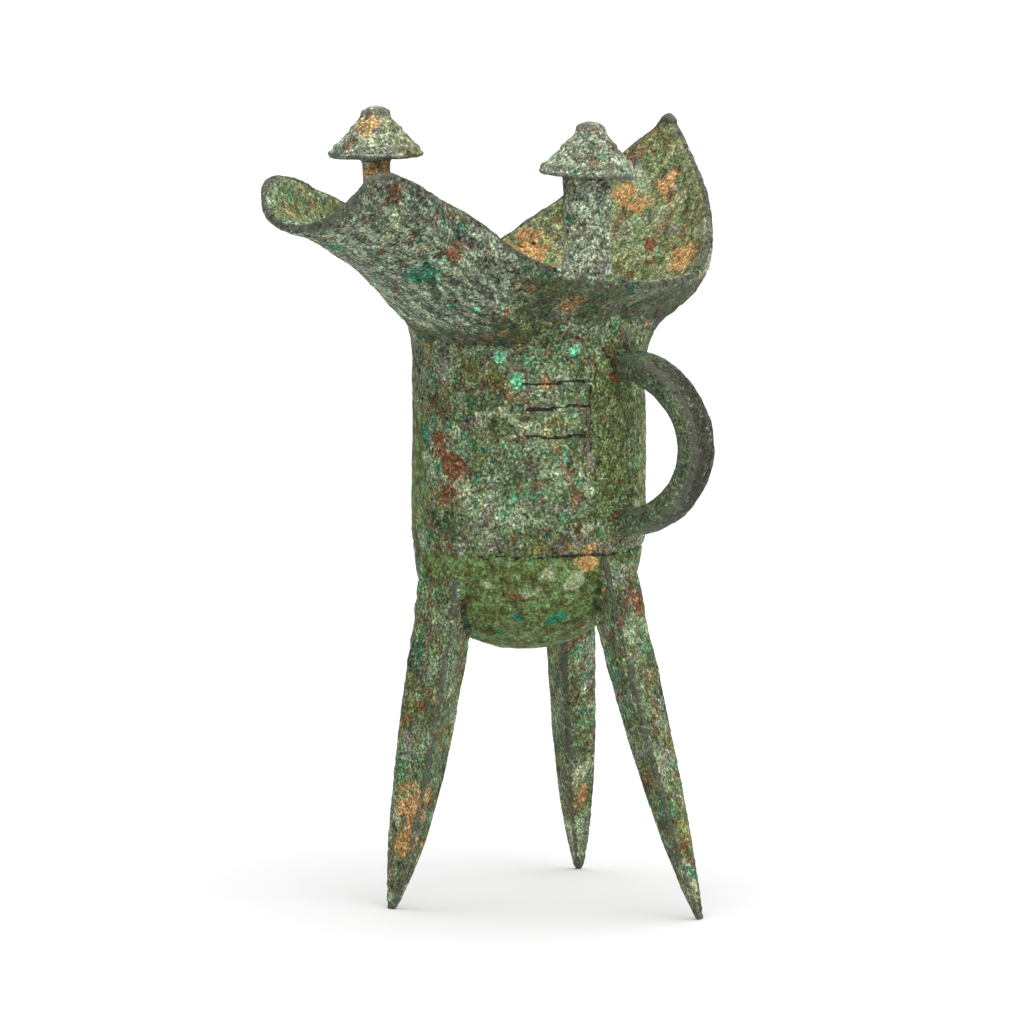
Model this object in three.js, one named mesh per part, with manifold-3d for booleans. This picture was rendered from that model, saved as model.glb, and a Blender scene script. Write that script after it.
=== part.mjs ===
// A bronze jue: a round-bottomed wine cup on three splayed legs, with a long pouring spout, a pointed tail
// opposite it, a strap handle at one side, and two capped posts standing on the lip. It is one casting.
// Millimetres and degrees. +Z is up, the spout points to -X, the tail to +X and the handle to -Y.
// Points are worked out about the cup's axis, and the finished casting is then set over its own origin.

import * as THREE from 'three';
import { mergeVertices } from 'three/addons/utils/BufferGeometryUtils.js';
import Module from 'manifold-3d';

// Cup
const cupRadius = 30.2; // outside, at the middle of the wall
const cupBottomHeight = 65.3; // lowest point of the round bottom above the ground
const ledgeHeight = 92.3; // where the wall steps in to the round bottom
const ledgeStep = 0.9;
const ledgeRise = 1.3;
const wallTaper = 0.5; // how much narrower the cup is at the neck
const neckHeight = 137; // where the straight wall starts to flare
const wallThickness = 2.6;
const bottomThickening = 0.5;
const bottomLean = 1.5; // the lowest point lies this far off the cup's axis, away from the handle and tail
const bottomLeanAngle = 125;

// Lip, at the sides of the cup
const lipRadius = 41.4;
const lipHeight = 161;
const lipThickness = 3.6;
const lipSquareness = 0.7; // exponent of the lip's rounding: 1 is a half circle, less is squarer

// Tail
const tailReach = 64.6; // from the cup's axis to the tip
const tailHeight = 197.2;
const tailHalfAngle = 60; // the tail's rim leaves the round lip at this angle from its middle
const tailReachSweep = 1.22; // exponents of the rim's curve from the lip to the tip
const tailHeightSweep = 1.56;

// Spout
const spoutReach = 98.2; // from the cup's axis to the end of its floor
const spoutEndHeight = 179.8;
const spoutHalfWidth = 17;
const spoutTopHeight = 191.6;
const spoutRootHeight = 146.6; // where the spout's belly leaves the cup
const spoutRootSweep = 3; // exponent of the root's fall from there to the neck
const spoutRootAngle = 60; // the root has come down to the neck at this angle from the spout's middle
const spoutRoll = 2.2; // how much higher the handle side of its mouth stands

// Handle
const handleHeight = 119.8;
const handleReach = 51.5; // from the cup's axis to the middle of the strap
const handleHalfHeight = 20.5;
const handleWidth = 10.2;
const handleThickness = 6.3;
const handleRootSpread = 1.12; // how much wider and thicker the strap is where it meets the cup
const handleRootSweep = 4; // exponent of that spread along the strap
const handleRounding = 1.1; // of the strap's corners

// Posts, measured from the cup's axis to their middle. One stands towards the handle, the other opposite.
const postFaceAngle = 124; // their broad faces look this way, measured from the tail's direction
const postLength = 12.6; // along the lip
const postThickness = 7;
const postRounding = 2.1; // of their corners
const postFootSpread = 1.35; // how much longer a post is at its foot
const postFootHeight = 9; // the foot narrows over this height
const postFootDepth = 0.5; // the foot starts this far below the middle of the lip
const postFootInset = 2.2; // and this much nearer the cup's axis
const postFootSlope = 0.5; // height gained per length outward, as on the lip
const handlePostAngle = -123.5;
const handlePostReach = 39.8;
const oppositePostAngle = 122;
const oppositePostReach = 38.9;
const oppositePostLean = 1.5; // along the lip
const postEntry = 2; // how far a post goes up into its cap

// Caps, measured to the middle of their brim's underside
const handleCapAngle = -123.8;
const handleCapReach = 41.2;
const handleCapBase = 189.6;
const handleCapHeight = 14.5;
const handleCapRadius = 12.9;
const oppositeCapAngle = 119.6;
const oppositeCapReach = 39.1;
const oppositeCapBase = 191;
const oppositeCapHeight = 14.1;
const oppositeCapRadius = 12.6;
const capKnobRadius = 3.9;

// Legs
const legTipWidth = 3;
const legRootHeight = 97; // the legs' flat outer faces end inside the wall here
const legFaceInset = 1.7; // how far inside the cup's outline they end
const legRounding = 0.12; // of their edges, as a share of the width
const legStepSweep = 1.4; // exponent that sets the sections closer together near the tip
const spoutLegReach = 39.9; // from the cup's axis to the tip of each leg
const tailLegReach = 46.7;
const handleLegReach = 55.6;
const spoutLegWidth = 17.8; // each leg's width at its root
const tailLegWidth = 15.6;
const handleLegWidth = 17;
const spoutLegTaper = 21; // the height over which most of that width is gained
const tailLegTaper = 24;
const handleLegTaper = 35;

// Number of steps
const bottomSteps = 7;
const wallSteps = 3;
const flareSteps = 9;
const lipSteps = 5;
const handleSteps = 22;
const handleEdgeSteps = 1;
const legSteps = 11;
const legEdgeSteps = 2;
const postFootSteps = 3;
const postEdgeSteps = 2;
const capSides = 26;
const weldSize = 0.02; // cut corners closer together than this become one

const wasm = await Module();
wasm.setup();

const radians = THREE.MathUtils.degToRad;
const up = new THREE.Vector3(0, 0, 1);

// A level direction at an angle from +X
function heading(angle) {
	return new THREE.Vector3(Math.cos(radians(angle)), Math.sin(radians(angle)), 0);
}

// A direction at an angle from +X, raised by a slope
function slanted(angle, slope) {
	return heading(angle).multiplyScalar(Math.cos(radians(slope))).addScaledVector(up, Math.sin(radians(slope)));
}

// The outside radius of the straight wall at a height
function wallRadius(height) {
	const share = THREE.MathUtils.clamp((height - ledgeHeight) / (neckHeight - ledgeHeight), 0, 1);
	return cupRadius - wallTaper * share ** 2;
}

// A closed mesh from rings of equally many points, each end drawn together to one point
function loft(rings, firstPoint, lastPoint) {
	const count = rings[0].length;
	const points = [firstPoint, ...rings.flat(), lastPoint];
	const triangles = [];
	for (let i = 0; i < count; i++) {
		const next = (i + 1) % count;
		triangles.push(0, 1 + next, 1 + i);
		for (let row = 0; row + 1 < rings.length; row++) {
			const low = 1 + row * count;
			const high = low + count;
			triangles.push(low + i, low + next, high + next, low + i, high + next, high + i);
		}
		const top = 1 + (rings.length - 1) * count;
		triangles.push(top + i, top + next, points.length - 1);
	}
	const geometry = new THREE.BufferGeometry().setFromPoints(points);
	geometry.setIndex(triangles);
	return geometry;
}

function middle(ring) {
	const sum = ring.reduce((total, point) => total.add(point), new THREE.Vector3());
	return sum.divideScalar(ring.length);
}

function solid(geometry) {
	const bare = geometry.clone();
	bare.deleteAttribute('normal');
	bare.deleteAttribute('uv');
	const merged = mergeVertices(bare, 1e-4);
	const mesh = new wasm.Mesh({
		numProp: 3,
		vertProperties: new Float32Array(merged.attributes.position.array),
		triVerts: new Uint32Array(merged.index.array),
	});
	return new wasm.Manifold(mesh);
}

function geometryOf(manifold) {
	const mesh = manifold.getMesh();
	const geometry = new THREE.BufferGeometry();
	geometry.setAttribute('position', new THREE.BufferAttribute(mesh.vertProperties, 3));
	geometry.setIndex(new THREE.BufferAttribute(mesh.triVerts, 1));
	geometry.computeVertexNormals();
	return geometry;
}

// One line of the cup's upper wall, from the cup to the rim. It leaves the cup at rootAngle with a slope
// of rootSlope, and reaches the rim on a heading with a slope of rimSlope. The pulls say how long it keeps
// each direction, as shares of the straight way from its root to its rim.
function wallLine({ rootAngle, rootHeight, rootSlope, rootPull, rim, rimAngle, rimSlope, rimPull }) {
	const root = heading(rootAngle).multiplyScalar(wallRadius(rootHeight) - wallThickness / 2);
	root.z = rootHeight;
	const way = root.distanceTo(rim);
	return [
		root,
		root.clone().addScaledVector(slanted(rootAngle, rootSlope), rootPull * way),
		rim.clone().addScaledVector(slanted(rimAngle, rimSlope), -rimPull * way),
		rim,
	];
}

// The tail's rim swings in and down from the tip to the round lip
function tailLine([angle, rootPull, rimSlope, rimPull]) {
	const left = Math.max(1 - angle / tailHalfAngle, 0);
	const reach = THREE.MathUtils.lerp(lipRadius, tailReach, left ** tailReachSweep);
	const rim = heading(angle).multiplyScalar(reach);
	rim.z = THREE.MathUtils.lerp(lipHeight, tailHeight, left ** tailHeightSweep);
	return wallLine({
		rootAngle: angle,
		rootHeight: neckHeight,
		rootSlope: 90,
		rootPull,
		rim,
		rimAngle: angle,
		rimSlope,
		rimPull,
	});
}

// A line of the spout, with its rim placed by three shares: along from the lip to the spout's end, across
// from its middle to its side, and up from the lip to the spout's top
function spoutLine([along, across, up, rootAngle, rootSlope, rootPull, rimTurn, rimSlope, rimPull, roll]) {
	const rim = new THREE.Vector3(
		-THREE.MathUtils.lerp(lipRadius, spoutReach, along),
		spoutHalfWidth * across,
		THREE.MathUtils.lerp(lipHeight, spoutTopHeight, up),
	);
	const fall = (rootAngle / spoutRootAngle) ** spoutRootSweep;
	const line = wallLine({
		rootAngle: 180 - rootAngle,
		rootHeight: THREE.MathUtils.lerp(spoutRootHeight, neckHeight, fall),
		rootSlope,
		rootPull,
		rim,
		rimAngle: 180 - rimTurn,
		rimSlope,
		rimPull,
	});
	line.roll = roll;
	return line;
}

// Lines of half the tail and lip, from the tip: angle, root pull, rim slope, rim pull
const tailLines = [
	[0, 0.23, 65, 0.4],
	[6, 0.25, 68, 0.375],
	[14, 0.3, 75, 0.355],
	[24, 0.37, 82, 0.315],
	[35, 0.44, 88, 0.357],
	[46, 0.52, 90, 0.4],
	[60, 0.58, 52, 0.366],
	[80, 0.59, 28, 0.293],
	[104, 0.59, 26, 0.293],
].map(tailLine);

// Lines of half the spout, from the lip to the middle of its floor:
// along, across, up, root angle, root slope, root pull, rim turn, rim slope, rim pull, share of the roll
const endUp = (spoutEndHeight - lipHeight) / (spoutTopHeight - lipHeight);
const spoutLines = [
	[-0.27, 2, 0.09, 57, 90, 0.513, 52, 30, 0.308, 0],
	[-0.09, 1.46, 0.25, 45, 88, 0.326, 45, 55, 0.392, 0],
	[0.05, 1.2, 0.47, 38, 78, 0.239, 40, 68, 0.372, 0],
	[0.22, 1.03, 0.66, 32, 58, 0.216, 20, 72, 0.346, 0.1],
	[0.43, 1, 0.8, 26, 42, 0.232, 5, 62, 0.303, 0.4],
	[0.62, 1.02, 0.92, 20, 34, 0.243, 5, 50, 0.274, 0.8],
	[0.78, 0.99, 0.985, 15, 31, 0.245, 3, 38, 0.272, 1],
	[0.87, 0.92, 0.93, 11, 29, 0.262, 0, 25, 0.275, 1],
	[0.94, 0.77, 0.76, 7.5, 28, 0.274, 0, 14, 0.3, 0.8],
	[0.985, 0.42, endUp + 0.03, 3.8, 28, 0.287, 0, 7, 0.313, 0.4],
	[1, 0, endUp, 0, 28, 0.286, 0, 5, 0.312, 0],
].map(spoutLine);
const halfLines = [...tailLines, ...spoutLines];

// How many steps each stretch between two lines is divided into
const stretchSteps = [1, 2, 2, 2, 2, 3, 3, 3, 2, 2, 2, 2, 2, 2, 2, 2, 2, 2, 2];

// The other half mirrors the first, apart from the spout's roll
function mirrored(line) {
	return line.map((point, index) => {
		const image = new THREE.Vector3(point.x, -point.y, point.z);
		if (index > 1) {
			image.z += spoutRoll * (line.roll ?? 0);
		}
		return image;
	});
}

const roundLines = [...halfLines, ...halfLines.slice(1, -1).reverse().map(mirrored)];
const roundSteps = [...stretchSteps, ...stretchSteps.slice().reverse()];
const guides = [0, 1, 2, 3].map(
	(index) => new THREE.CatmullRomCurve3(roundLines.map((line) => line[index]), true, 'catmullrom', 0.5),
);

// Places round the vessel where the wall is worked out
const places = [];
roundSteps.forEach((steps, stretch) => {
	for (let step = 0; step < steps; step++) {
		places.push((stretch + step / steps) / roundSteps.length);
	}
});

// The upper wall's line at each place, as a curve
const uprights = places.map((place) => {
	const [root, leaving, arriving, rim] = guides.map((guide) => guide.getPoint(place));
	return new THREE.CubicBezierCurve3(root, leaving, arriving, rim);
});

// Rings through the middle of the wall's thickness, from the bottom to the rim
const middleRadius = cupRadius - wallThickness / 2;
const bottomRise = ledgeHeight - cupBottomHeight - wallThickness / 2;
const bottomShares = Array.from({ length: bottomSteps }, (_, step) => (step + 1) / bottomSteps);
const bottomRings = bottomShares.map((share) => {
	const slope = (share * Math.PI) / 2;
	return uprights.map(({ v0 }) => {
		const point = new THREE.Vector3(v0.x, v0.y, 0).setLength(middleRadius * Math.sin(slope));
		point.z = ledgeHeight - bottomRise * Math.cos(slope);
		return point.addScaledVector(heading(bottomLeanAngle), bottomLean * Math.cos(slope));
	});
});
const wallShares = Array.from({ length: wallSteps }, (_, step) => step / wallSteps);
const wallRings = wallShares.map((share) =>
	uprights.map(({ v0 }) => {
		const height = THREE.MathUtils.lerp(ledgeHeight + ledgeRise, v0.z, share);
		const point = new THREE.Vector3(v0.x, v0.y, 0).setLength(wallRadius(height) - wallThickness / 2);
		point.z = height;
		return point;
	}),
);
const flareShares = Array.from({ length: flareSteps + 1 }, (_, step) => step / flareSteps);
const flareRings = flareShares.map((share) => uprights.map((upright) => upright.getPoint(share)));
const rings = [...bottomRings, ...wallRings, ...flareRings];

// The direction square to the wall at a ring's point, pointing out of the vessel
function outward(row, column) {
	const count = rings[row].length;
	const along = rings[row][(column + 1) % count].clone().sub(rings[row][(column + count - 1) % count]);
	const lower = rings[Math.max(row - 1, 0)][column];
	const upper = rings[Math.min(row + 1, rings.length - 1)][column];
	return along.cross(upper.clone().sub(lower)).normalize();
}

// Half the wall's thickness at each ring, inside and outside
const rimRow = rings.length - 1;
const wallRow = bottomRings.length;
function insideHalf(row) {
	const lipShare = Math.max((row - rimRow) / flareSteps + 1, 0);
	return THREE.MathUtils.lerp(wallThickness, lipThickness, lipShare ** 2) / 2;
}
function outsideHalf(row) {
	if (row >= wallRow) {
		return insideHalf(row);
	}
	const share = bottomShares[row];
	return wallThickness / 2 - ledgeStep * share ** 3 + bottomThickening * (1 - share);
}

const insideRings = rings.map((ring, row) =>
	ring.map((point, column) => point.clone().addScaledVector(outward(row, column), -insideHalf(row))),
);
const outsideRings = rings.map((ring, row) =>
	ring.map((point, column) => point.clone().addScaledVector(outward(row, column), outsideHalf(row))),
);
const lipShares = Array.from({ length: lipSteps - 1 }, (_, step) => (step + 1) / lipSteps);
const lipRings = lipShares.map((share) =>
	rings[rimRow].map((point, column) => {
		const turn = Math.PI * share;
		const onward = point.clone().sub(rings[rimRow - 1][column]).normalize();
		const across = Math.sign(Math.cos(turn)) * Math.abs(Math.cos(turn)) ** lipSquareness;
		return point
			.clone()
			.addScaledVector(outward(rimRow, column), (lipThickness / 2) * across)
			.addScaledVector(onward, (lipThickness / 2) * Math.sin(turn) ** lipSquareness);
	}),
);

// The lowest point of the round bottom, seen from above
const bottomMiddle = heading(bottomLeanAngle).multiplyScalar(bottomLean);

function cupShell() {
	const outsideBottom = bottomMiddle.clone().setZ(cupBottomHeight - bottomThickening);
	const insideBottom = bottomMiddle.clone().setZ(cupBottomHeight + wallThickness);
	const smoothInside = insideRings.filter((_, row) => row !== wallRow);
	return solid(loft([...outsideRings, ...lipRings, ...smoothInside.reverse()], outsideBottom, insideBottom));
}

// What lies inside the middle of the wall, up past the handle: the roots of the legs and handle end there
function cupCore() {
	const coreRings = [...bottomRings, ...wallRings, ...flareRings.slice(0, flareSteps / 2)];
	const lowest = bottomMiddle.clone().setZ(cupBottomHeight + wallThickness / 2);
	return solid(loft(coreRings, lowest, middle(coreRings.at(-1))));
}

// A ring of points: a polygon's corners, each replaced by an arc that starts a rounding's length from it
function roundedPolygon(corners, rounding, cornerSteps) {
	const shape = [];
	corners.forEach((corner, index) => {
		const before = corners[(index + corners.length - 1) % corners.length];
		const after = corners[(index + 1) % corners.length];
		const start = corner.clone().lerp(before, Math.min(rounding / corner.distanceTo(before), 0.5));
		const end = corner.clone().lerp(after, Math.min(rounding / corner.distanceTo(after), 0.5));
		const arc = new THREE.QuadraticBezierCurve(start, corner, end);
		for (let step = 0; step <= cornerSteps; step++) {
			shape.push(arc.getPoint(step / cornerSteps));
		}
	});
	return shape;
}

// The corners of a rectangle about its middle
function rectangle(length, thickness) {
	const signs = [[-1, -1], [-1, 1], [1, 1], [1, -1]];
	return signs.map(([x, y]) => new THREE.Vector2((x * length) / 2, (y * thickness) / 2));
}

// A leg is a three-sided blade with one flat face outward and an edge inward
function leg({ tipAngle, tipReach, rootAngle, faceAngle, width, taper }) {
	const faceOut = heading(faceAngle);
	const faceAlong = heading(faceAngle + 90);
	const tip = heading(tipAngle).multiplyScalar(tipReach);
	const root = heading(rootAngle).multiplyScalar(cupRadius - legFaceInset).setZ(legRootHeight);
	const sections = [];
	for (let step = 0; step <= legSteps; step++) {
		const share = (step / legSteps) ** legStepSweep;
		const side = legTipWidth + (width - legTipWidth) * (1 - Math.exp((-legRootHeight * share) / taper));
		const inset = side / (2 * Math.sqrt(3));
		const centre = tip.clone().lerp(root, share).addScaledVector(faceOut, -inset);
		const corners = [0, 1, 2].map((corner) => {
			const turn = Math.PI + (corner * 2 * Math.PI) / 3;
			return new THREE.Vector2(Math.cos(turn), Math.sin(turn)).multiplyScalar(2 * inset);
		});
		sections.push(
			roundedPolygon(corners, side * legRounding, legEdgeSteps).map((point) =>
				centre.clone().addScaledVector(faceOut, point.x).addScaledVector(faceAlong, point.y),
			),
		);
	}
	return solid(loft(sections, middle(sections[0]), middle(sections.at(-1))));
}

const legs = [
	{
		tipAngle: 152,
		tipReach: spoutLegReach,
		rootAngle: 165,
		faceAngle: 165,
		width: spoutLegWidth,
		taper: spoutLegTaper,
	},
	{
		tipAngle: 18.3,
		tipReach: tailLegReach,
		rootAngle: 14.5,
		faceAngle: 25,
		width: tailLegWidth,
		taper: tailLegTaper,
	},
	{
		tipAngle: 267.4,
		tipReach: handleLegReach,
		rootAngle: 265.5,
		faceAngle: 272,
		width: handleLegWidth,
		taper: handleLegTaper,
	},
];

// The handle is a flat strap bent to half an ellipse, wider and thicker at its two roots
function handle() {
	const rootRadius = cupRadius - wallThickness;
	const sections = [];
	for (let step = 0; step <= handleSteps; step++) {
		const turn = Math.PI * (step / handleSteps - 0.5);
		const reach = THREE.MathUtils.lerp(rootRadius, handleReach, Math.cos(turn));
		const centre = new THREE.Vector3(0, -reach, handleHeight + handleHalfHeight * Math.sin(turn));
		const out = new THREE.Vector3(0, -Math.cos(turn), Math.sin(turn));
		const spread = 1 + (handleRootSpread - 1) * Math.abs(Math.sin(turn)) ** handleRootSweep;
		const corners = rectangle(handleWidth * spread, handleThickness * spread);
		sections.push(
			roundedPolygon(corners, handleRounding, handleEdgeSteps).map((point) =>
				centre.clone().addScaledVector(out, point.y).add(new THREE.Vector3(point.x, 0, 0)),
			),
		);
	}
	return solid(loft(sections, middle(sections[0]), middle(sections.at(-1))));
}

// A post is a flat plate standing on the lip, its foot spread and sloped as the lip is
function post({ side, angle, reach, lean, capBase }) {
	const out = heading(side * postFaceAngle);
	const along = heading(side * (postFaceAngle - 90));
	const centre = heading(angle).multiplyScalar(reach);
	const foot = lipHeight - postFootDepth;
	const top = capBase + postEntry;
	const plate = (height, narrowing) => {
		const spread = 1 + (postFootSpread - 1) * narrowing;
		const aside = (lean * (height - foot)) / (top - foot);
		const inset = postFootInset * narrowing;
		const outline = rectangle(postLength * spread, postThickness);
		return roundedPolygon(outline, postRounding, postEdgeSteps).map((point) =>
			centre
				.clone()
				.addScaledVector(along, point.x + aside)
				.addScaledVector(out, point.y - inset)
				.setZ(height + postFootSlope * narrowing * point.y),
		);
	};
	const sections = [];
	for (let step = 0; step <= postFootSteps; step++) {
		const share = step / postFootSteps;
		sections.push(plate(foot + postFootHeight * share, (1 - share) ** 2));
	}
	sections.push(plate(top, 0));
	const upright = sections.map((ring) => (side > 0 ? ring.reverse() : ring));
	return solid(loft(upright, middle(sections[0]), middle(sections.at(-1))));
}

// A cap is a low cone with a round knob, a thick brim and a raised ring half way up. The profile is in
// shares of the radius and of the height.
const knobShare = capKnobRadius / oppositeCapRadius;
const capProfile = [
	[0, 0.04],
	[0.6, 0.02],
	[0.945, 0],
	[1, 0.065],
	[0.955, 0.14],
	[0.89, 0.175],
	[THREE.MathUtils.lerp(1, knobShare, 0.66), 0.53],
	[THREE.MathUtils.lerp(1, knobShare, 0.71), 0.605],
	[knobShare * 1.05, 0.7],
	[knobShare, 0.84],
	[knobShare * 0.75, 0.95],
	[0, 1],
];

function cap({ capAngle, capReach, capBase, capHeight, capRadius, tiltAngle, tilt }) {
	const profile = capProfile.map(([across, up]) => new THREE.Vector2(across * capRadius, up * capHeight));
	const geometry = new THREE.LatheGeometry(profile, capSides);
	geometry.rotateX(Math.PI / 2);
	geometry.applyMatrix4(new THREE.Matrix4().makeRotationAxis(heading(tiltAngle + 90), radians(tilt)));
	const base = heading(capAngle).multiplyScalar(capReach);
	geometry.translate(base.x, base.y, capBase);
	return solid(geometry);
}

const stands = [
	{
		side: -1,
		angle: handlePostAngle,
		reach: handlePostReach,
		lean: 0,
		capAngle: handleCapAngle,
		capReach: handleCapReach,
		capBase: handleCapBase,
		capHeight: handleCapHeight,
		capRadius: handleCapRadius,
		tiltAngle: -55,
		tilt: 2.5,
	},
	{
		side: 1,
		angle: oppositePostAngle,
		reach: oppositePostReach,
		lean: oppositePostLean,
		capAngle: oppositeCapAngle,
		capReach: oppositeCapReach,
		capBase: oppositeCapBase,
		capHeight: oppositeCapHeight,
		capRadius: oppositeCapRadius,
		tiltAngle: 125,
		tilt: 0.8,
	},
];

function casting() {
	const core = cupCore();
	const roots = [...legs.map(leg), handle()].map((piece) => piece.subtract(core));
	const pieces = [...roots, ...stands.map(post), ...stands.map(cap)];
	return pieces.reduce((whole, piece) => whole.add(piece), cupShell()).simplify(weldSize);
}

// The origin is on the ground, under the middle of the whole length and width
const geometry = geometryOf(casting());
geometry.computeBoundingBox();
const box = geometry.boundingBox;
geometry.translate(-(box.min.x + box.max.x) / 2, -(box.min.y + box.max.y) / 2, -box.min.z);

const bronze = new THREE.MeshStandardMaterial({ color: 0x56624a, roughness: 0.8, metalness: 0.35 });
const vessel = new THREE.Mesh(geometry, bronze);
vessel.name = 'jue_vessel';

const group = new THREE.Group();
group.add(vessel);

export default group;
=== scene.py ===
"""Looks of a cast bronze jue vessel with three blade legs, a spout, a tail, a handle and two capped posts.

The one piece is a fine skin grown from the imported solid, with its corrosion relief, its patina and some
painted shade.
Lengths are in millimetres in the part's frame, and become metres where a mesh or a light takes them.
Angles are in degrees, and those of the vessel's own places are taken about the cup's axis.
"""

import math

import bpy
import numpy as np
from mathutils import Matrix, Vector, kdtree, noise


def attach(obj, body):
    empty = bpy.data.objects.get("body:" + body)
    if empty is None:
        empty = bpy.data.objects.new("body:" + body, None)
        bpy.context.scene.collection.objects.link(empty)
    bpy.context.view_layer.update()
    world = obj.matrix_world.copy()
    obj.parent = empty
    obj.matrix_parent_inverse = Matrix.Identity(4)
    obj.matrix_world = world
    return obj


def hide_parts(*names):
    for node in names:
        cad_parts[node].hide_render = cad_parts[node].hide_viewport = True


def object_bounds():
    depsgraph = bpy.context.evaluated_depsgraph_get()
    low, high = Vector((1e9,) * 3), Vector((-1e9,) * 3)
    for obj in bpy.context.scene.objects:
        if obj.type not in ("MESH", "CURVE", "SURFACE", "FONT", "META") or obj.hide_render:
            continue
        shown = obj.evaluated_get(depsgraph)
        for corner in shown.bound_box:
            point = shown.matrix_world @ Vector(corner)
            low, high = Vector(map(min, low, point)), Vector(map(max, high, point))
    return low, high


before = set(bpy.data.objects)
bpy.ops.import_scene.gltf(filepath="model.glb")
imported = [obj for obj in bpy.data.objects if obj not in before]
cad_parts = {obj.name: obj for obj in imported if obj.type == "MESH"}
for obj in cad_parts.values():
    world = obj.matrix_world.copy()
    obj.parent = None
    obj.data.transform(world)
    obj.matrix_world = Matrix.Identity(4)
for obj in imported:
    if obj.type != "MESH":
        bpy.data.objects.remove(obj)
cad_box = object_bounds()

MM = 0.001
NODE = "jue_vessel"

# Camera
CAMERA_AZIMUTH = -55.0
CAMERA_ELEVATION = 7.0
CAMERA_DISTANCE = 2000.0
CAMERA_TARGET = (24.22, 14.92, 98.59)
CAMERA_LENS = 272.5
CAMERA_SENSOR = 36
CAMERA_NEAR = 50
CAMERA_FAR = 60000

# Lights: how far right of the camera, elevation, spread and strength
KEY_LIGHT = (50, 80, 100, 4.1)
FILL_LIGHT = (45, 25, 60, 0.6)
SURROUND_STRENGTH = 0.45
SURROUND_STOPS = ((0.05, 0.25), (0.8, 1.0))

# Floor
FLOOR_SIZE = 24000
FLOOR_TONES = ((0.3, 0.68), (0.7, 0.7))
FLOOR_DULLNESS = 0.9
FLOOR_GLINT = 0.1

# Skin: a pair is the range over which something sets in
WELD_GAP = 0.002
VOXEL = 0.55
EDGE_TURN = (0.012, 0.03)
FACET_ROUNDS = 40
LEG_KEPT = (72.0, 80.0)
CREASE_DEPTH = (0.12, 0.45)
CREASE_ROUNDS = 25
SKIN_TRIANGLES = 196000
BOX_MARGIN = 0.02

# Cup: its axis, its outer wall, and the ledge over its round bottom
CUP_AXIS = np.array([16.75, 4.49])
WALL_RADIUS = 30.0
LEDGE_HEIGHT = 92.0
LEDGE_INNER = (26.0, 28.0)
LEDGE_OUTER = (31.0, 32.0)
LEDGE_GROOVE = 0.6
DOME_RADIUS = 29.4
DOME_DEPTH = 27.0
INSIDE_RISE = (66.0, 70.0)
FLARE_RISE = (138.0, 148.0)
SPOUT_START = (-22.0, -12.0)
SPOUT_SLOPE = -31.0

# Legs: where they leave the cup, and the middle and half width of the one root that runs up into the wall,
# as its own patina shows it and as it interrupts the groove at the ledge
LEG_RISE = (76.0, 92.0)
LEG_REACH = (27.0, 31.0)
SPLAY_HEIGHT = 66.0
SPLAY = 0.4
LEG_ROOT = (134.0, 14.0)
GROOVE_GAP = (156.0, 30.0)

# Calm olive strip on the wall
STRIP_ANGLE = 130.0
STRIP_EDGE = (24.0, 27.0)
STRIP_LOW = (96.0, 102.0)
STRIP_HIGH = (124.0, 130.0)

# Handle, and the sunken field behind it
HANDLE_ROOT = (31.5, 33.0)
HANDLE_MIDDLE = 119.6
HANDLE_HALF = 24.0
FIELD_LOW = (98.0, 101.0)
FIELD_HIGH = (141.0, 144.0)
FIELD_END = (-66.0, -60.0)
FIELD_DEPTH = 0.3

# Three raised lines beside the handle end at a mould edge
LINE_HEIGHTS = (136.2, 129.9, 122.7)
LINE_START = -150.0
LINE_RISE = 0.3
LINE_GROOVE = 0.75
MOULD_EDGE = -113.0
MOULD_LOW = 118.0
MOULD_HIGH = 139.0
MOULD_GROOVE = 0.5

# Caps: the middle of the brim's plane, and each ring's height above it, width and rise
CAPS = ((-6.1, -29.7, 189.6), (-2.5, 38.5, 191.0))
CAP_REACH = 14.0
CAP_RINGS = ((2.9, 0.5, 0.3), (2.0, 0.45, -0.35), (6.8, 0.45, -0.3), (7.7, 0.5, 0.2))
POST_REACH = (9.0, 10.5)
POST_RISE = (162.0, 166.0)

# Corrosion: how far each kind stands out or goes in
BROAD_RELIEF = 0.22
LUMP_RELIEF = 0.16
CRUMB_RELIEF = 0.13
LEAST_RELIEF = 0.03
CRUST_RELIEF = 0.22
PIT_DEPTH = 0.34
PIT_SPACING = 3.4
PIT_RADIUS = (0.35, 1.15)

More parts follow.
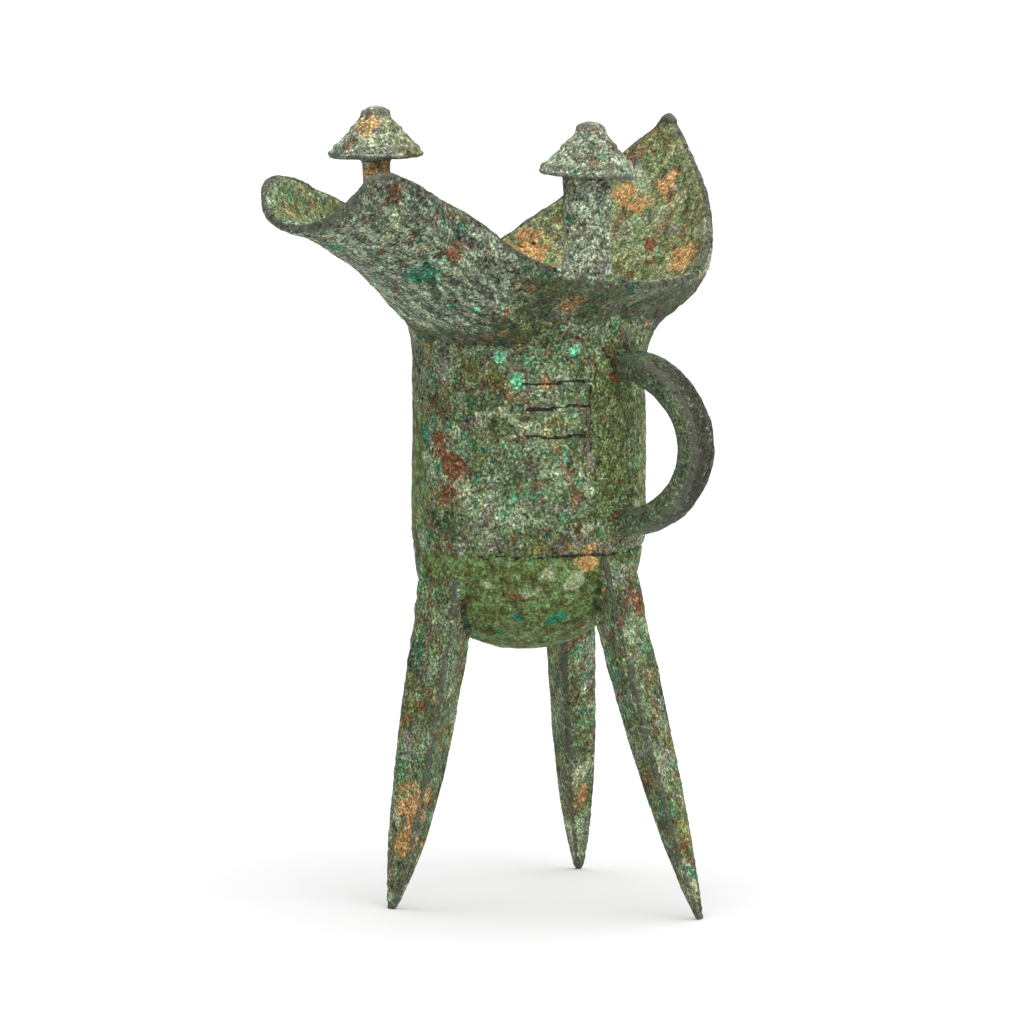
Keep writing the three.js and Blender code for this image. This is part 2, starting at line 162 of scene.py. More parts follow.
# Patches of patina: kind, place on the surface to the nearest millimetre, reach
PATCHES = (
    ("cuprite", (-12, 11, 119), 4.6),
    ("cuprite", (-13, 6, 114), 5.6),
    ("cuprite", (-13, 9, 108), 4.2),
    ("cuprite", (-65, -13, 189), 4.5),
    ("cuprite", (-41, -13, 172), 4.5),
    ("cuprite", (60, -3, 166), 3.0),
    ("cuprite", (-14, 16, 53), 3.0),
    ("cuprite", (17, -29, 80), 4.2),
    ("cuprite", (8, -30, 76), 2.4),
    ("mint", (1, -21, 145), 2.8),
    ("mint", (-9, -10, 137), 2.6),
    ("mint", (-11, -6, 143), 2.0),
    ("teal", (3, -14, 75), 3.4),
    ("teal", (-4, -7, 76), 2.4),
    ("teal", (28, -47, 113), 2.6),
    ("teal", (-65, 7, 174), 4.0),
    ("teal", (-43, -4, 166), 6.0),
    ("earth", (54, 30, 161), 9.0),
    ("earth", (56, -17, 164), 6.5),
    ("earth", (71, -2, 181), 4.5),
    ("earth", (66, 4, 176), 4.0),
    ("earth", (69, 10, 178), 5.0),
    ("earth", (-9, 38, 200), 5.0),
    ("earth", (-6, 34, 187), 6.0),
    ("earth", (-17, 18, 28), 7.0),
    ("earth", (-18, 19, 18), 5.0),
    ("earth", (-5, -24, 157), 5.0),
    ("earth", (-56, 19, 183), 2.6),
    ("earth", (5, -22, 91), 4.2),
    ("pale", (2, -20, 86), 3.6),
    ("pale", (25, -24, 103), 3.4),
)
# Weaker patches all over: size, least noise that makes one, and seed
SCATTERED = {
    "earth": (9, 0.62, 21),
    "cuprite": (7, 0.55, 22),
    "mint": (5, 0.6, 23),
    "teal": (6, 0.55, 24),
    "pale": (12, 0.4, 25),
}

# Tones are screen values from 0 to 255. The ground goes from dark to pale with a broad noise.
GROUND = (
    (0.38, (50, 60, 38)),
    (0.45, (80, 94, 60)),
    (0.51, (102, 120, 86)),
    (0.57, (124, 138, 106)),
    (0.65, (148, 162, 130)),
)
# Ragged fields: size, noise where one starts and where it is full, greatest share, seed, and tone
GREEN_FIELDS = (
    (9, 0.52, 0.56, 0.7, 1, (110, 108, 58)),
    (7, 0.55, 0.6, 0.7, 2, (64, 120, 86)),
)
BROWN_FIELDS = (
    (6, 0.55, 0.59, 0.65, 3, (114, 106, 102)),
    (5, 0.545, 0.59, 0.75, 4, (102, 70, 44)),
)
LIGHT_GRAINS = (1.6, 0.57, 0.62, 0.5, 5, (146, 182, 146))
DARK_PITS = (1.9, 0.56, 0.6, 0.7, 7, (40, 44, 32))
# Tints of whole parts: greatest share, and the tones where the mottling is low, middling and high
MOTTLE_STOPS = (0.4, 0.5, 0.6)
TINTS = {
    "ashen": (0.75, (100, 114, 94), (138, 150, 130), (160, 168, 146)),
    "warm": (0.65, (84, 102, 58), (124, 130, 86), (146, 146, 104)),
    "olive": (0.85, (76, 80, 34), (92, 104, 50), (90, 124, 76)),
}
# Kinds with one tone, each laid over the one before: kind, greatest share, and tone
PATCH_TONES = (
    ("pale", 0.8, (154, 164, 128)),
    ("mint", 0.9, (112, 190, 146)),
    ("teal", 0.9, (30, 112, 82)),
    ("cuprite", 0.9, (112, 66, 40)),
    ("earth", 0.85, (176, 134, 84)),
)
HANDLE_TONES = (
    ("dark", 0.7, (70, 84, 62)),
    # Painted shade on the handle's outer face
    ("outer", 0.9, (50, 46, 38)),
)
RIM_TONE = ("rim", 0.8, (48, 46, 36))
# The first two are painted shade, and the last is real wear on raised points
PAINTED_SHADE_AND_WEAR_TONES = (
    # Painted shade in the broad creases and under the lip and the spout
    ("painted_shade", 0.6, (42, 48, 34)),
    # Painted shade in the fine hollows
    ("painted_hollow_shade", 0.85, (24, 30, 22)),
    ("worn", 0.5, (96, 98, 84)),
)
STREAK_STOPS = ((0.48, 0.0), (0.55, 0.8))
STREAK_TONE = (58, 70, 56)
# How strongly the fine and the middling noise lighten and darken the patina
ROUGH_CONTRAST = 7.0
CALM_CONTRAST = 4.5
MOTTLE_CONTRAST = 2.6
# Surface of the bronze
DULL_STOPS = ((0.3, 0.86), (0.7, 0.62))
WORN_DULLNESS = 0.45
GLINT = 0.2
BUMP_HEIGHT = 0.9


def smooth(low, high, value):
    """0 below low, 1 above high, and a smooth rise between them."""
    t = np.clip((value - low) / (high - low), 0, 1)
    return t * t * (3 - 2 * t)


def band(centre, half, soft, value):
    """1 within half of the centre, falling to 0 over the soft width beyond it."""
    return 1 - smooth(half, half + soft, np.abs(value - centre))


def bell(centre, width, value):
    """A rounded ridge of height 1 about the centre."""
    return np.exp(-(((value - centre) / width) ** 2))


class Skin:
    """A mesh's points in millimetres with what the relief and the patina ask of them."""

    def __init__(self, obj):
        self.mesh = obj.data
        count = len(self.mesh.vertices)
        self.places = np.zeros(count * 3, np.float32)
        self.mesh.vertices.foreach_get("co", self.places)
        self.places = self.places.reshape(-1, 3).astype(float) / MM
        ends = np.zeros(len(self.mesh.edges) * 2, np.int32)
        self.mesh.edges.foreach_get("vertices", ends)
        self.ends = ends.reshape(-1, 2)
        self.neighbours = np.bincount(self.ends.ravel(), minlength=count)

    def relaxed(self, values, rounds, share=1.0):
        """The values after each has moved, round by round, towards the mean of its neighbours."""
        a, b = self.ends.T
        count = len(values)
        values = values.reshape(count, -1).copy()
        share = np.broadcast_to(np.asarray(share, float).reshape(-1, 1), (count, 1))
        for _ in range(rounds):
            totals = [
                np.bincount(a, column[b], count) + np.bincount(b, column[a], count) for column in values.T
            ]
            values += share * (np.stack(totals, axis=1) / self.neighbours[:, None] - values)
        return values.squeeze()

    def write(self):
        """Puts the places back in the mesh."""
        flat = (self.places * MM).astype(np.float32).ravel()
        self.mesh.vertices.foreach_set("co", flat)
        self.mesh.update()

    def normals(self):
        """The unit normals of the mesh as it was last written."""
        found = np.zeros(len(self.places) * 3, np.float32)
        self.mesh.vertex_normals.foreach_get("vector", found)
        return found.reshape(-1, 3).astype(float)

    def form(self, rounds, normals):
        """How far each point stands out of its surroundings, which grow with the rounds."""
        return np.sum((self.places - self.relaxed(self.places, rounds)) * normals, axis=1)

    def grain(self, size, octaves, seed):
        """Fractal noise of about -1 to 1, with features of the size."""
        shift = Vector((17.3, 5.1, 9.7)) * seed
        return np.array([noise.fractal(Vector(p) + shift, 1, 2, octaves) for p in self.places / size])

    def spots(self, size, seed):
        """The distance to the nearest of scattered points, in millimetres."""
        shift = Vector((3.1, 11.9, 7.3)) * seed
        return size * np.array([noise.voronoi(Vector(p) + shift)[0][0] for p in self.places / size])

    def polar(self):
        """Each point's angle, radius and height about the cup's axis."""
        x, y = (self.places[:, :2] - CUP_AXIS).T
        return np.degrees(np.arctan2(y, x)), np.hypot(x, y), self.places[:, 2]

    def away(self, place):
        """Each point's level distance from the upright line through the place."""
        return np.hypot(*(self.places[:, :2] - place[:2]).T)


def apply_modifier(obj, kind, **settings):
    """Adds one modifier to the object, sets it and applies it to the mesh."""
    modifier = obj.modifiers.new(kind.lower(), kind)
    for name, value in settings.items():
        setattr(modifier, name, value)
    graph = bpy.context.evaluated_depsgraph_get()
    made = bpy.data.meshes.new_from_object(obj.evaluated_get(graph))
    obj.modifiers.clear()
    obj.data = made


def edge_share(skin):
    """1 along the casting's own edges, and 0 on its faces."""
    normals = skin.normals()
    broad = skin.relaxed(normals, 8)
    broad /= np.linalg.norm(broad, axis=1, keepdims=True)
    return skin.relaxed(smooth(*EDGE_TURN, 1 - np.sum(normals * broad, axis=1)), 4)


def smooth_facets(skin, edge):
    """Rounds the solid's facets off, apart from its edges, its legs and its handle."""
    _, radius, height = skin.polar()
    frozen = skin.relaxed(edge, 10)
    free = (1 - smooth(0.02, 0.2, frozen)) * smooth(*LEG_KEPT, height + 0.3 * radius)
    free *= 1 - handle_share(radius, height)
    skin.places = skin.relaxed(skin.places, FACET_ROUNDS, 0.8 * free)
    skin.places = skin.relaxed(skin.places, 1, 0.5)
    skin.write()


def fill_creases(skin):
    """Small fillets where the legs, the handle and the posts leave the cup."""
    hollow = -skin.form(20, skin.normals())
    crease = skin.relaxed(smooth(*CREASE_DEPTH, hollow), 8)
    skin.places = skin.relaxed(skin.places, CREASE_ROUNDS, 0.9 * crease)
    skin.write()


def bare_skin(node):
    """A closed skin of even small faces over the solid, with the edge share of its points."""
    obj = bpy.data.objects.new("vessel", node.data.copy())
    bpy.context.scene.collection.objects.link(obj)
    obj.data.materials.clear()
    apply_modifier(obj, "WELD", merge_threshold=WELD_GAP * MM)
    apply_modifier(obj, "REMESH", mode="VOXEL", voxel_size=VOXEL * MM)
    skin = Skin(obj)
    edge = edge_share(skin)
    smooth_facets(skin, edge)
    fill_creases(skin)
    return obj, edge


def carried(values, source, target):
    """The values at the source's points, as each point of the target finds them nearest to it."""
    tree = kdtree.KDTree(len(source))
    for index, place in enumerate(source):
        tree.insert(place, index)
    tree.balance()
    return np.array([values[tree.find(place)[1]] for place in target])


def handle_share(radius, height):
    """1 on the handle, outside the wall."""
    return smooth(*HANDLE_ROOT, radius) * band(HANDLE_MIDDLE, HANDLE_HALF, 3, height)


def cap_share(skin):
    """1 on the caps, from their brims up."""
    near = [1 - smooth(CAP_REACH, CAP_REACH + 1, skin.away(brim)) for brim in CAPS]
    risen = [smooth(-1, 0, skin.places[:, 2] - brim[2]) for brim in CAPS]
    return np.maximum(near[0] * risen[0], near[1] * risen[1])


def post_share(skin):
    """1 on the posts with their feet, and on the caps above them."""
    away = np.minimum(*(skin.away(brim) for brim in CAPS))
    return (1 - smooth(*POST_REACH, away)) * smooth(*POST_RISE, skin.places[:, 2])


class Parts:
    """The vessel's parts, each as a share from 0 to 1 at every point of a skin."""

    def __init__(self, skin, normals):
        self.angle, self.radius, self.height = skin.polar()
        x, y = (skin.places[:, :2] - CUP_AXIS).T
        self.facing = (normals[:, 0] * x + normals[:, 1] * y) / np.maximum(self.radius, 1)
        self.ragged = skin.grain(7, octaves=3, seed=4)
        self.wall = smooth(0.3, 0.6, self.facing) * band(WALL_RADIUS, 1.5, 1.0, self.radius)
        self.dome = self.round_bottom(-normals[:, 2])
        self.strip = self.olive_strip()
        self.behind = self.handle_field()
        self.inside = smooth(0.1, 0.4, -self.facing) * smooth(*INSIDE_RISE, self.height)
        self.handle = handle_share(self.radius, self.height)
        splayed = SPLAY * np.maximum(0, SPLAY_HEIGHT - self.height)
        self.legs = (1 - smooth(*LEG_RISE, self.height)) * smooth(*LEG_REACH, self.radius + splayed)
        self.caps = cap_share(skin)
        self.posts = post_share(skin) * (1 - self.caps)
        flare = smooth(*FLARE_RISE, self.height)
        self.spout = (1 - smooth(*SPOUT_START, skin.places[:, 0])) * flare * smooth(-0.2, 0.2, self.facing)
        self.spout *= (1 - self.posts) * (1 - self.caps)
        # Downward faces of the flare, under the lip and the spout, where shade is painted
        self.under = flare * smooth(0.15, 0.65, -normals[:, 2]) * (1 - self.inside)

    def round_bottom(self, facing_down):
        """The round bottom below the ledge, up to the leg root that runs up into the wall."""
        below = np.clip((LEDGE_HEIGHT - self.height) / DOME_DEPTH, 0, 1)
        found = 1 - smooth(-0.6, 0.3, self.height + 0.3 * self.ragged - LEDGE_HEIGHT)
        found *= 1 - smooth(0.9, 1.8, self.radius - DOME_RADIUS * np.sqrt(1 - below**2))
        return found * smooth(-0.4, -0.1, facing_down + self.facing) * (1 - band(*LEG_ROOT, 3, self.angle))

    def olive_strip(self):
        """The calm strip of the wall with ragged borders."""
        turned = np.abs((self.angle - STRIP_ANGLE + 180) % 360 - 180)
        found = self.wall * smooth(*STRIP_LOW, self.height + 4 * self.ragged)
        found *= 1 - smooth(*STRIP_HIGH, self.height + 3 * self.ragged)
        return found * (1 - smooth(*STRIP_EDGE, turned + 3 * self.ragged))

    def handle_field(self):
        """The wall's field behind the handle, from the mould edge on."""
        found = self.wall * smooth(*FIELD_LOW, self.height) * (1 - smooth(*FIELD_HIGH, self.height))
        found *= smooth(MOULD_EDGE + 1, MOULD_EDGE + 2.5, self.angle)
        return found * (1 - smooth(*FIELD_END, self.angle))


def corrosion(skin, part, edge, lumps):
    """Broad unevenness, lumps, crumbs, a broken crust and pits, weaker on calm parts and along edges."""
    calm = np.clip(part.dome + part.strip + 0.7 * part.behind + 0.6 * part.inside, 0, 1)
    rough = (1 - 0.75 * calm) * (1 - 0.35 * part.handle) * (1 - 0.75 * edge)
    rough *= 1 - 0.5 * np.clip(part.caps + part.posts + 1.2 * part.legs, 0, 1)
    uneven = skin.grain(16, octaves=2, seed=1) * (1 - 0.6 * part.legs)
    crumbs = skin.grain(1.9, octaves=3, seed=3)
    out = BROAD_RELIEF * uneven + rough * (LUMP_RELIEF * lumps + CRUMB_RELIEF * crumbs)
    out += LEAST_RELIEF * crumbs
    crust = smooth(-0.05, 0.08, skin.grain(9, octaves=4, seed=5)) * rough
    out += CRUST_RELIEF * (crust - 0.5)
    pitted = smooth(0.1, 0.3, skin.grain(11, octaves=2, seed=6)) * rough
    return out - PIT_DEPTH * pitted * (1 - smooth(*PIT_RADIUS, skin.spots(PIT_SPACING, seed=1)))


def cast_lines(skin, part):
    """The three raised lines and the mould edge that ends them, each with a groove along it."""
    wander = 0.5 * skin.grain(9, octaves=2, seed=7)
    along = smooth(LINE_START - 3, LINE_START + 8, part.angle)
    along *= 1 - smooth(MOULD_EDGE - 0.6, MOULD_EDGE + 0.4, part.angle)
    out = np.zeros(len(along))
    for level in LINE_HEIGHTS:
        above = part.height - level - wander
        out += along * (LINE_RISE * bell(-1.0, 0.5, above) - LINE_GROOVE * bell(0, 0.45, above))
    span = smooth(MOULD_LOW - 2, MOULD_LOW + 1, part.height)
    span *= 1 - smooth(MOULD_HIGH, MOULD_HIGH + 1.5, part.height)
    across = np.radians(part.angle - MOULD_EDGE) * WALL_RADIUS - 0.4 * wander
    out += span * (LINE_RISE * bell(-0.9, 0.45, across) - MOULD_GROOVE * bell(0.1, 0.45, across))
    return out * part.wall


def ledge_groove(part, lumps):
    """The groove at the ledge, as a depth, with its gap at one leg root."""
    ring = smooth(*LEDGE_INNER, part.radius) * (1 - smooth(*LEDGE_OUTER, part.radius))
    ring *= 1 - band(*GROOVE_GAP, 4, part.angle % 360)
    return LEDGE_GROOVE * ring * bell(LEDGE_HEIGHT, 0.7, part.height + 0.2 * lumps)


def cap_rings(skin, part, lumps):
    """The rings and grooves round the caps."""
    out = np.zeros(len(lumps))
    for brim in CAPS:
        near = part.caps * (skin.away(brim) < CAP_REACH + 2)
        above = part.height - brim[2] + 0.25 * lumps
        for level, width, rise in CAP_RINGS:
            out += near * rise * bell(level, width, above)
    return out


def relief(skin, normals, edge):
    """How far each point stands out of the smooth casting, in millimetres."""
    part = Parts(skin, normals)
    lumps = skin.grain(5, octaves=3, seed=2)
    out = corrosion(skin, part, edge, lumps)
    out += cast_lines(skin, part)
    out -= FIELD_DEPTH * part.behind
    out -= ledge_groove(part, lumps)
    out += cap_rings(skin, part, lumps) * smooth(0.1, 0.4, normals[:, 2])
    return out


def patch_shares(skin):
    """The shares of the kinds that lie in patches, by list and all over."""
    ragged = skin.grain(3, octaves=3, seed=11)
    share = {
        kind: 0.8 * smooth(least, least + 0.25, skin.grain(size, 3, seed))
        for kind, (size, least, seed) in SCATTERED.items()
    }
    for kind, centre, reach in PATCHES:
        away = np.linalg.norm(skin.places - np.array(centre), axis=1)
        share[kind] = np.maximum(share[kind], 1 - smooth(0.2, 1.3, away / reach + 0.6 * ragged))
    return share


def form_shares(skin, normals, fine_form, broad_form):
    """The shares of the kinds that follow the vessel's parts and its form, painted shade among them."""
    part = Parts(skin, normals)
    olive = np.clip(part.dome + part.strip + 0.6 * part.behind, 0, 1)
    broad = smooth(0.2, 0.6, skin.grain(22, octaves=2, seed=12))
    bulky = np.clip(part.handle + 0.5 * part.caps + 0.6 * part.posts + 0.4 * part.legs, 0, 1)
    calm = np.clip(part.dome + part.strip + 0.7 * part.inside + 0.4 * part.handle, 0, 1)
    # Painted shade under the lip, weaker under the spout
    beneath = part.under * (0.9 - 0.45 * part.spout)
    return {
        "olive": np.maximum(olive, 0.55 * broad * part.wall),
        "worn": smooth(0.08, 0.3, fine_form),
        # Painted shade in the fine hollows of the relief
        "painted_hollow_shade": smooth(0.05, 0.3, -fine_form),
        "rim": smooth(0.2, 0.55, broad_form) * (1 - bulky),
        # Painted shade in the broad creases and under the lip and the spout
        "painted_shade": np.maximum(smooth(0.12, 0.6, -broad_form), beneath),
        "ashen": np.clip(part.caps + 0.9 * part.posts + 0.62 * part.spout, 0, 1),
        # The handle's outer face, for painted shade
        "outer": part.handle * smooth(0.35, 0.6, -normals[:, 1]),
        "dark": part.handle,
        "warm": part.inside,
        "streaked": part.spout,
        "rough": 1 - 0.8 * calm,
    }


def vessel_piece(node):
    """The casting's skin with its relief and its shares of patina and painted shade, inside the solid's
    box.
    """
    obj, edge = bare_skin(node)
    skin = Skin(obj)
    normals = skin.normals()
    bare = skin.places.copy()
    bare_form = skin.form(30, normals)
    skin.places += relief(skin, normals, edge)[:, None] * normals
    low, high = (np.array(corner) / MM for corner in cad_box)
    skin.places = np.clip(skin.places, low + BOX_MARGIN * (low < 0), high - BOX_MARGIN)
    skin.write()
    apply_modifier(obj, "TRIANGULATE")
    apply_modifier(obj, "DECIMATE", ratio=min(1.0, SKIN_TRIANGLES / len(obj.data.polygons)))
    skin = Skin(obj)
    normals = skin.normals()
    broad_form = carried(bare_form, bare, skin.places)
    shares = patch_shares(skin) | form_shares(skin, normals, skin.form(4, normals), broad_form)
    for kind, values in shares.items():
        layer = obj.data.attributes.new(kind, "FLOAT", "POINT")
        layer.data.foreach_set("value", values.astype(np.float32))
    obj.data.shade_smooth()
    return obj


def shade(tone):
    """A linear colour with full alpha from a tone's screen values."""
    screen = np.array(tone) / 255
    linear = np.where(screen <= 0.04045, screen / 12.92, ((screen + 0.055) / 1.055) ** 2.4)
    return (*(float(v) for v in linear), 1.0)


def grey(level):
    """A linear grey with full alpha."""
    return (level, level, level, 1.0)


# Sockets of a colour mix, which share their names with those of its other kinds
MIX_AMOUNT = 0
MIX_LOW = 6
MIX_HIGH = 7
MIX_RESULT = 2


class Graph:
    """Short words for the nodes of one material, with textures measured in millimetres."""

    def __init__(self, name):
        self.material = bpy.data.materials.new(name)
        self.material.use_nodes = True
        self.nodes = self.material.node_tree.nodes
        self.links = self.material.node_tree.links
        self.shader = self.nodes["Principled BSDF"]
        place = self.nodes.new("ShaderNodeTexCoord").outputs["Object"]
        scaled = self.nodes.new("ShaderNodeMapping")
        scaled.inputs["Scale"].default_value = (1 / MM,) * 3
        self.links.new(place, scaled.inputs["Vector"])
        self.place = scaled.outputs["Vector"]

    def put(self, value, socket):
        """A link where the value is another node's output, and a plain value otherwise."""
        if isinstance(value, bpy.types.NodeSocket):
            self.links.new(value, socket)
        else:
            socket.default_value = value

    def noise(self, size, detail, roughness, distortion=0.0, seed=0, stretch=1.0):
        """Noise from 0 to 1 with features of the size, drawn out along the spout's slope by the stretch."""
        turned = self.nodes.new("ShaderNodeMapping")
        turned.inputs["Rotation"].default_value = (0, math.radians(SPOUT_SLOPE), 0)
        self.links.new(self.place, turned.inputs["Vector"])
        moved = self.nodes.new("ShaderNodeMapping")
        moved.inputs["Scale"].default_value = (1 / (size * stretch), 1 / size, 1 / size)
        moved.inputs["Location"].default_value = (size * 7.7 + seed * 31.7, size * 3.3, size * 5.9)
        self.links.new(turned.outputs["Vector"], moved.inputs["Vector"])
        found = self.nodes.new("ShaderNodeTexNoise")
        self.links.new(moved.outputs["Vector"], found.inputs["Vector"])
        found.inputs["Scale"].default_value = 1.0
        found.inputs["Detail"].default_value = detail
        found.inputs["Roughness"].default_value = roughness
        found.inputs["Distortion"].default_value = distortion
        return found.outputs["Fac"]

    def ramp(self, value, *stops):
        """A tone or a grey level between stops of place and tone, or of place and level."""
        found = self.nodes.new("ShaderNodeValToRGB")
        stay = found.color_ramp.elements
        while len(stay) < len(stops):
            stay.new(0.5)
        for element, (at, tone) in zip(stay, stops):
            element.position = at
            element.color = shade(tone) if isinstance(tone, tuple) else grey(tone)
        self.links.new(value, found.inputs["Fac"])
        return found.outputs["Color"]

    def mix(self, amount, low, high):
        """The low colour turned into the high one by the amount."""
        found = self.nodes.new("ShaderNodeMix")
        found.data_type = "RGBA"
        self.put(amount, found.inputs[MIX_AMOUNT])
        self.put(low, found.inputs[MIX_LOW])
        self.put(high, found.inputs[MIX_HIGH])
        return found.outputs[MIX_RESULT]

    def sum(self, operation, first, second):
        """Two values joined by one operation of arithmetic, kept from 0 to 1."""
        found = self.nodes.new("ShaderNodeMath")
        found.operation = operation
        found.use_clamp = True
        self.put(first, found.inputs[0])
        self.put(second, found.inputs[1])
        return found.outputs[0]

    def contrast(self, value, strength):
        """A factor about 1 that grows and falls exponentially as the value leaves its middle."""
        away = self.nodes.new("ShaderNodeMath")
        away.operation = "MULTIPLY_ADD"
        self.put(value, away.inputs[0])
        away.inputs[1].default_value = strength
        away.inputs[2].default_value = -strength / 2
        found = self.nodes.new("ShaderNodeMath")
        found.operation = "EXPONENT"
        self.links.new(away.outputs[0], found.inputs[0])
        return found.outputs[0]

    def scaled(self, colour, factor):
        """The colour made lighter or darker by the factor."""
        found = self.nodes.new("ShaderNodeVectorMath")
        found.operation = "SCALE"
        self.links.new(colour, found.inputs[0])
        self.links.new(factor, found.inputs["Scale"])
        return found.outputs[0]

    def share(self, kind):
        """One of the mesh's own patina shares."""
        found = self.nodes.new("ShaderNodeAttribute")
        found.attribute_name = kind
        return found.outputs["Fac"]


class Patina(Graph):
    """The patina of the bronze with some painted shade, laid layer over layer."""

    def __init__(self):
        super().__init__("green_patina")
        self.mottle = self.noise(2.6, 5, 0.7, 0.5)
        self.speck = self.noise(0.7, 3, 0.7)
        self.broken = self.mix(0.4, self.mottle, self.speck)
        self.colour = self.ramp(self.noise(13, 9, 0.68, 0.3), *GROUND)

    def cover(self, amount, tone):
        """One tone over what is there."""
        self.colour = self.mix(amount, self.colour, shade(tone))

    def on(self, kind, amount):
        """The amount where the mesh has the kind."""
        return self.sum("MULTIPLY", amount, self.share(kind))

    def field(self, size, low, high, most, seed):
        """Ragged areas scattered by a noise of their own."""
        return self.ramp(self.noise(size, 8, 0.68, 0.4, seed), (low, 0.0), (high, most))

    def patch(self, kind, most):
        """The mesh's share of the kind, with borders that the fine noise breaks up."""
        level = self.sum("SUBTRACT", self.sum("MULTIPLY", self.share(kind), 1.15), self.broken)
        return self.ramp(level, (0.0, 0.0), (0.22, most))

    def lay_fields(self, fields):
        """Ragged fields over what is there."""
        for *shape, tone in fields:
            self.cover(self.field(*shape), tone)

    def lay_tint(self, kind):
        """A part's own tones, which follow the mottling."""
        most, *tones = TINTS[kind]
        tinted = self.ramp(self.mottle, *zip(MOTTLE_STOPS, tones))
        self.colour = self.mix(self.patch(kind, most), self.colour, tinted)

    def lay_patches(self, kinds):
        """Kinds of one tone, with broken borders."""
        for kind, most, tone in kinds:
            self.cover(self.patch(kind, most), tone)

    def lay_handle(self):
        """The dark of the handle, and painted shade in darker brown on its outer face."""
        for kind, most, tone in HANDLE_TONES:
            self.cover(self.on(kind, most), tone)

    def lay_grains(self):
        """Streaks down the spout, then light grains and dark pits where the surface is rough."""
        streaks = self.ramp(self.noise(1.6, 4, 0.65, 0.2, 9, stretch=5), *STREAK_STOPS)
        self.cover(self.on("streaked", streaks), STREAK_TONE)
        for *shape, tone in (LIGHT_GRAINS, DARK_PITS):
            self.cover(self.on("rough", self.field(*shape)), tone)

    def vary(self):
        """Fine light and dark, stronger where the surface is rough, and broader light and dark over it."""
        strong = self.scaled(self.colour, self.contrast(self.speck, ROUGH_CONTRAST))
        mild = self.scaled(self.colour, self.contrast(self.speck, CALM_CONTRAST))
        self.colour = self.mix(self.share("rough"), mild, strong)
        self.colour = self.scaled(self.colour, self.contrast(self.mottle, MOTTLE_CONTRAST))

    def make_surface(self):
        """Puts the colour on a dull surface with a fine bump, smoother where it is worn."""
        self.links.new(self.colour, self.shader.inputs["Base Color"])
        dull = self.mix(self.share("worn"), self.ramp(self.mottle, *DULL_STOPS), grey(WORN_DULLNESS))
        self.links.new(dull, self.shader.inputs["Roughness"])
        self.shader.inputs["Specular IOR Level"].default_value = GLINT
        bump = self.nodes.new("ShaderNodeBump")
        bump.inputs["Strength"].default_value = 1.0
        bump.inputs["Distance"].default_value = BUMP_HEIGHT * MM
        self.links.new(self.mix(0.55, self.speck, self.mottle), bump.inputs["Height"])
        self.links.new(bump.outputs["Normal"], self.shader.inputs["Normal"])


def bronze_material():
    """Green patina over bronze: mottled tones, patches of earth and red oxide, and dark worn edges, with
    painted shade in the creases, in the hollows, under the lip and the spout, and on the handle's outer
    face.
    """
    patina = Patina()
    patina.lay_fields(GREEN_FIELDS)
    patina.lay_tint("ashen")
    patina.lay_tint("warm")
    patina.lay_fields(BROWN_FIELDS)
    patina.lay_tint("olive")
    patina.lay_patches(PATCH_TONES)
    # The handle's own dark, then painted shade on its outer face
    patina.lay_handle()
    patina.lay_patches([RIM_TONE])
    patina.lay_grains()
    patina.vary()
    # Painted shade in the creases, the hollows and the undersides, then the worn points
    patina.lay_patches(PAINTED_SHADE_AND_WEAR_TONES)
    patina.make_surface()
    return patina.material


def floor_piece():
    """A wide pale floor under the feet."""
    bpy.ops.mesh.primitive_plane_add(size=FLOOR_SIZE * MM)
    floor = bpy.context.object
    floor.name = "floor"
    graph = Graph("pale_floor")
    tone = graph.ramp(graph.noise(400, 2, 0.5), *FLOOR_TONES)
    graph.links.new(tone, graph.shader.inputs["Base Color"])
    graph.shader.inputs["Roughness"].default_value = FLOOR_DULLNESS
    graph.shader.inputs["Specular IOR Level"].default_value = FLOOR_GLINT
    floor.data.materials.append(graph.material)


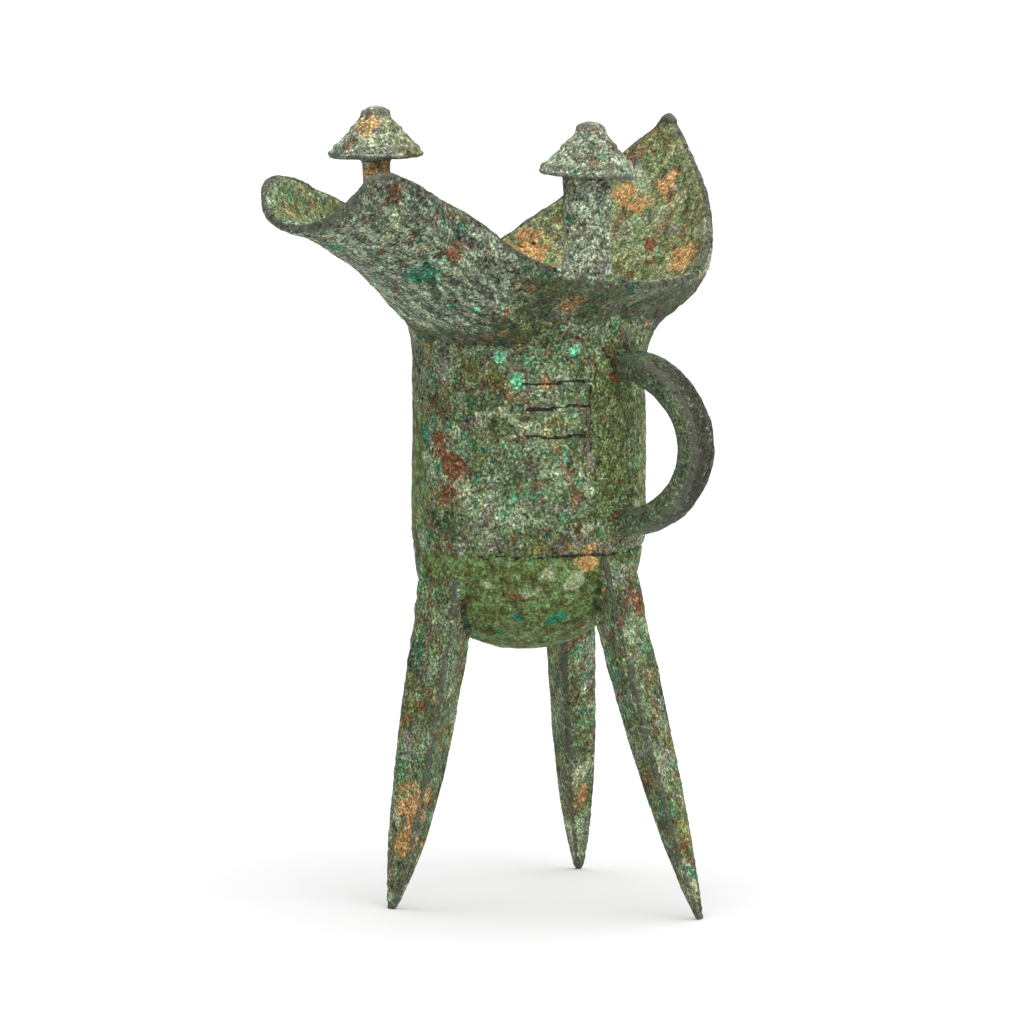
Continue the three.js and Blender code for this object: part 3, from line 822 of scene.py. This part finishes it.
def place_facing(obj, azimuth, elevation):
    """Puts the object on the camera's sphere about its target, and turns it to face the target."""
    turn, rise = math.radians(azimuth), math.radians(elevation)
    back = Vector((math.sin(turn) * math.cos(rise), -math.cos(turn) * math.cos(rise), math.sin(rise)))
    bpy.context.scene.collection.objects.link(obj)
    obj.location = Vector(CAMERA_TARGET) * MM + back * CAMERA_DISTANCE * MM
    aim = Vector(CAMERA_TARGET) * MM - obj.location
    obj.rotation_euler = aim.to_track_quat("-Z", "Y").to_euler()


def sun(name, right, elevation, spread, strength):
    """Soft light from one side that is even over the whole floor."""
    data = bpy.data.lights.new(name, "SUN")
    data.angle = math.radians(spread)
    data.energy = strength
    place_facing(bpy.data.objects.new(name, data), CAMERA_AZIMUTH + right, elevation)


def surround():
    """Even light from all round that is brighter from above."""
    world = bpy.data.worlds.new("surround")
    bpy.context.scene.world = world
    world.use_nodes = True
    nodes, links = world.node_tree.nodes, world.node_tree.links
    aim = nodes.new("ShaderNodeSeparateXYZ")
    links.new(nodes.new("ShaderNodeTexCoord").outputs["Generated"], aim.inputs["Vector"])
    sky = nodes.new("ShaderNodeValToRGB")
    for element, (at, level) in zip(sky.color_ramp.elements, SURROUND_STOPS):
        element.position = at
        element.color = grey(level)
    links.new(aim.outputs["Z"], sky.inputs["Fac"])
    links.new(sky.outputs["Color"], nodes["Background"].inputs["Color"])
    nodes["Background"].inputs["Strength"].default_value = SURROUND_STRENGTH


def studio():
    """Broad soft light from overhead, a weak fill from the camera's right, and a bright surround."""
    surround()
    sun("key", *KEY_LIGHT)
    sun("fill", *FILL_LIGHT)


def photo_camera():
    """The camera where the photograph was taken from."""
    data = bpy.data.cameras.new("photo")
    data.lens = CAMERA_LENS
    data.sensor_width = CAMERA_SENSOR
    data.clip_start = CAMERA_NEAR * MM
    data.clip_end = CAMERA_FAR * MM
    obj = bpy.data.objects.new("photo", data)
    place_facing(obj, CAMERA_AZIMUTH, CAMERA_ELEVATION)
    bpy.context.scene.camera = obj


bpy.context.scene.view_settings.view_transform = "Standard"
photo_camera()
studio()
floor_piece()
vessel = vessel_piece(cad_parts[NODE])
vessel.data.materials.append(bronze_material())
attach(vessel, "root")
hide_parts(NODE)
